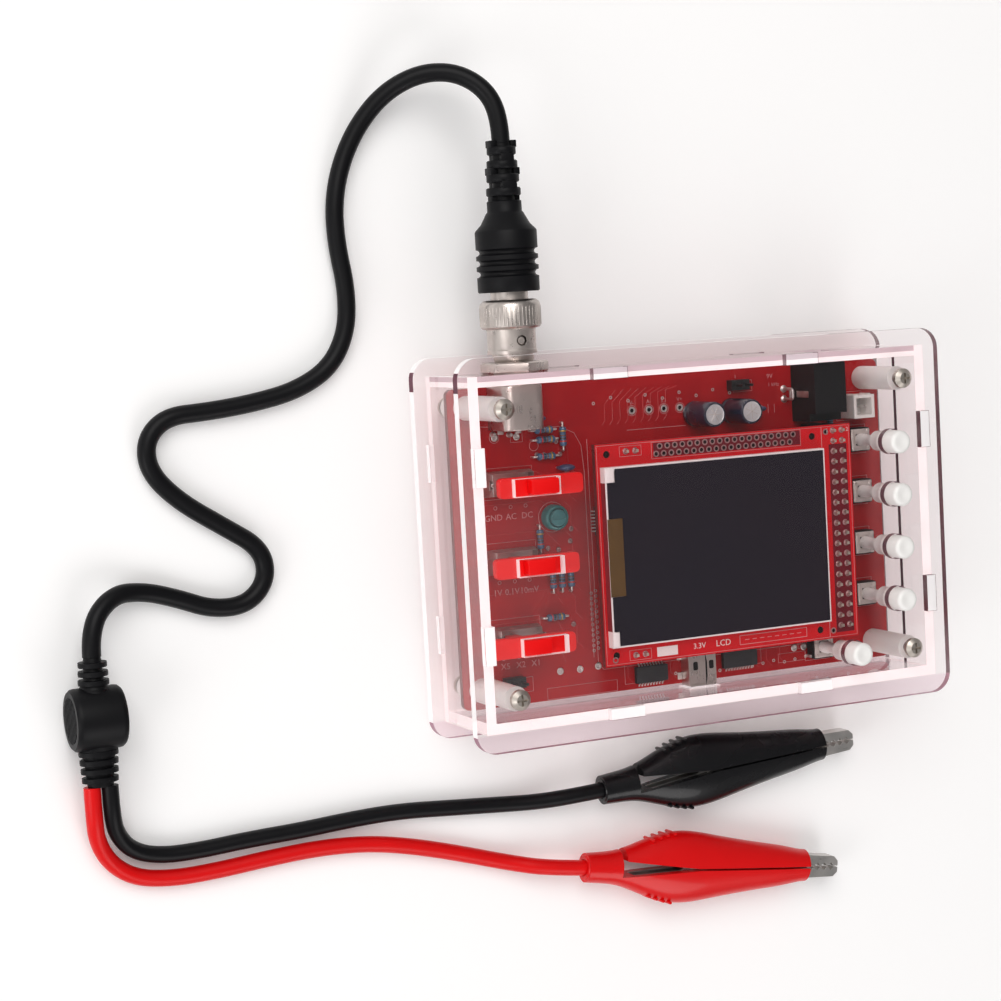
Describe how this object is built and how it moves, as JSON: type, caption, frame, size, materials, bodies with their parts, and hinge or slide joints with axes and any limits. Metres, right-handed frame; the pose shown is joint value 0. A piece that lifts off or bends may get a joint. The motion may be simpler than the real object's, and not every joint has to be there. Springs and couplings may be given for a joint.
{
  "type": "handheld oscilloscope",
  "caption": "Handheld oscilloscope in a clear slotted case with a screen, side push buttons, range slide switches and a bayonet test lead ending in alligator clips.",
  "frame": {"origin": "centre of the base of the scope's bounding box, the plane of its rear screw heads, without the test lead", "axes": "+X across the screen to the buttons' side, +Y up the screen towards the signal socket, +Z out of the screen"},
  "size_m": [0.218, 0.2087, 0.0345],
  "materials": {
    "clear_acrylic": "clear, gloss",
    "screw_steel": "satin",
    "white_nylon": "satin",
    "main_board": "solder resist, satin",
    "display_board": "solder resist, satin",
    "display_frame": "satin",
    "display_glass": "polished",
    "amber_film": "polyimide film",
    "header_plastic": "satin",
    "header_pins": "satin",
    "switch_body": "satin",
    "button_cap": "moulded, satin",
    "slide_switch_can": "satin",
    "slider_plastic": "moulded, gloss",
    "jack_plastic": "satin",
    "nickel": "nickel plated",
    "contact_brass": "gold plated",
    "can_aluminium": "satin",
    "trimmer_plastic": "satin",
    "resistor_coat": "lacquered",
    "disc_coat": "lacquered",
    "chip_body": "moulded",
    "boot_rubber": "moulded, satin",
    "cable_jacket": "extruded, satin",
    "red_jacket": "extruded, satin",
    "jaw_steel": "nickel plated sheet",
    "red_vinyl": "soft vinyl, gloss",
    "black_vinyl": "soft vinyl, gloss"
  },
  "bodies": {
    "case": {"front_plate": "clear_acrylic", "rear_plate": "clear_acrylic", "left_panel": "clear_acrylic", "right_panel": "clear_acrylic", "top_panel": "clear_acrylic", "bottom_panel": "clear_acrylic", "front_screws": "screw_steel", "rear_screws": "screw_steel", "front_standoffs": "white_nylon", "rear_standoffs": "white_nylon", "main_board": "main_board", "display_board": "display_board", "display_frame": "display_frame", "display_glass": "display_glass", "display_flex": "amber_film", "header_sockets": "header_plastic", "header_pins": "header_pins", "push_switches": "switch_body", "slide_switches": "slide_switch_can", "dc_jack": "jack_plastic", "dc_jack_pin": "nickel", "usb_socket": "nickel", "battery_header": "white_nylon", "capacitor_cans": "can_aluminium", "trimmer_body": "trimmer_plastic", "resistors": "resistor_coat", "disc_capacitors": "disc_coat", "chips": "chip_body", "pin_headers": "header_pins", "test_loop": "nickel", "signal_jack": "nickel", "signal_insulator": "white_nylon", "signal_nut": "nickel", "plug_core": "nickel", "plug_pin": "contact_brass", "cable_boot": "boot_rubber", "coax_cable": "cable_jacket", "splitter": "boot_rubber", "black_lead": "cable_jacket", "red_lead": "red_jacket", "red_lower_jaw": "jaw_steel", "black_lower_jaw": "jaw_steel", "red_lower_boot": "red_vinyl", "black_lower_boot": "black_vinyl", "clip_springs": "screw_steel"},
    "slider_1": {"slider_1": "slider_plastic"},
    "slider_2": {"slider_2": "slider_plastic"},
    "slider_3": {"slider_3": "slider_plastic"},
    "button_1": {"button_1": "button_cap"},
    "button_2": {"button_2": "button_cap"},
    "button_3": {"button_3": "button_cap"},
    "button_4": {"button_4": "button_cap"},
    "reset_button": {"reset_button": "button_cap"},
    "trimmer_rotor": {"trimmer_rotor": "white_nylon"},
    "wave_washer": {"wave_washer": "screw_steel"},
    "bayonet_ring": {"bayonet_ring": "nickel"},
    "red_clip_jaw": {"red_upper_jaw": "jaw_steel", "red_upper_boot": "red_vinyl"},
    "black_clip_jaw": {"black_upper_jaw": "jaw_steel", "black_upper_boot": "black_vinyl"}
  },
  "joints": [
    {"name": "slider_1_slide", "type": "slide", "parent": "case", "child": "slider_1", "axis": [1, 0, 0], "range_m": [-0.004, 0]},
    {"name": "slider_2_slide", "type": "slide", "parent": "case", "child": "slider_2", "axis": [1, 0, 0], "range_m": [-0.002, 0.002]},
    {"name": "slider_3_slide", "type": "slide", "parent": "case", "child": "slider_3", "axis": [1, 0, 0], "range_m": [0, 0.004]},
    {"name": "button_1_press", "type": "slide", "parent": "case", "child": "button_1", "axis": [0, 0, -1], "range_m": [0, 0.0004], "stiffness_N_per_m": 900, "springref_m": -0.001},
    {"name": "button_2_press", "type": "slide", "parent": "case", "child": "button_2", "axis": [0, 0, -1], "range_m": [0, 0.0004], "stiffness_N_per_m": 900, "springref_m": -0.001},
    {"name": "button_3_press", "type": "slide", "parent": "case", "child": "button_3", "axis": [0, 0, -1], "range_m": [0, 0.0004], "stiffness_N_per_m": 900, "springref_m": -0.001},
    {"name": "button_4_press", "type": "slide", "parent": "case", "child": "button_4", "axis": [0, 0, -1], "range_m": [0, 0.0004], "stiffness_N_per_m": 900, "springref_m": -0.001},
    {"name": "reset_button_press", "type": "slide", "parent": "case", "child": "reset_button", "axis": [0, 0, -1], "range_m": [0, 0.0004], "stiffness_N_per_m": 900, "springref_m": -0.001},
    {"name": "trimmer_turn", "type": "hinge", "parent": "case", "child": "trimmer_rotor", "pos_m": [-0.0346, 0.00175, 0.015], "axis": [0, 0, 1], "continuous": true},
    {"name": "washer_slide", "type": "slide", "parent": "case", "child": "wave_washer", "axis": [0, 1, 0], "range_m": [0, 0.0014]},
    {"name": "ring_turn", "type": "hinge", "parent": "wave_washer", "child": "bayonet_ring", "pos_m": [-0.0449, 0.048, 0.0176], "axis": [0, 1, 0], "range_deg": [0, 70]},
    {"name": "red_clip_open", "type": "hinge", "parent": "case", "child": "red_clip_jaw", "pos_m": [0.00241, -0.09038, 0.0051], "axis": [0, 0, 1], "range_deg": [0, 9], "stiffness_Nm_per_rad": 0.9, "springref_deg": -20.05},
    {"name": "black_clip_open", "type": "hinge", "parent": "case", "child": "black_clip_jaw", "pos_m": [0.00846, -0.06603, 0.0051], "axis": [0, 0, 1], "range_deg": [0, 9], "stiffness_Nm_per_rad": 0.9, "springref_deg": -20.05}
  ],
  "couplings": [
    {"joint": "washer_slide", "follows": "ring_turn", "m_per_rad": 0.0011459}
  ]
}
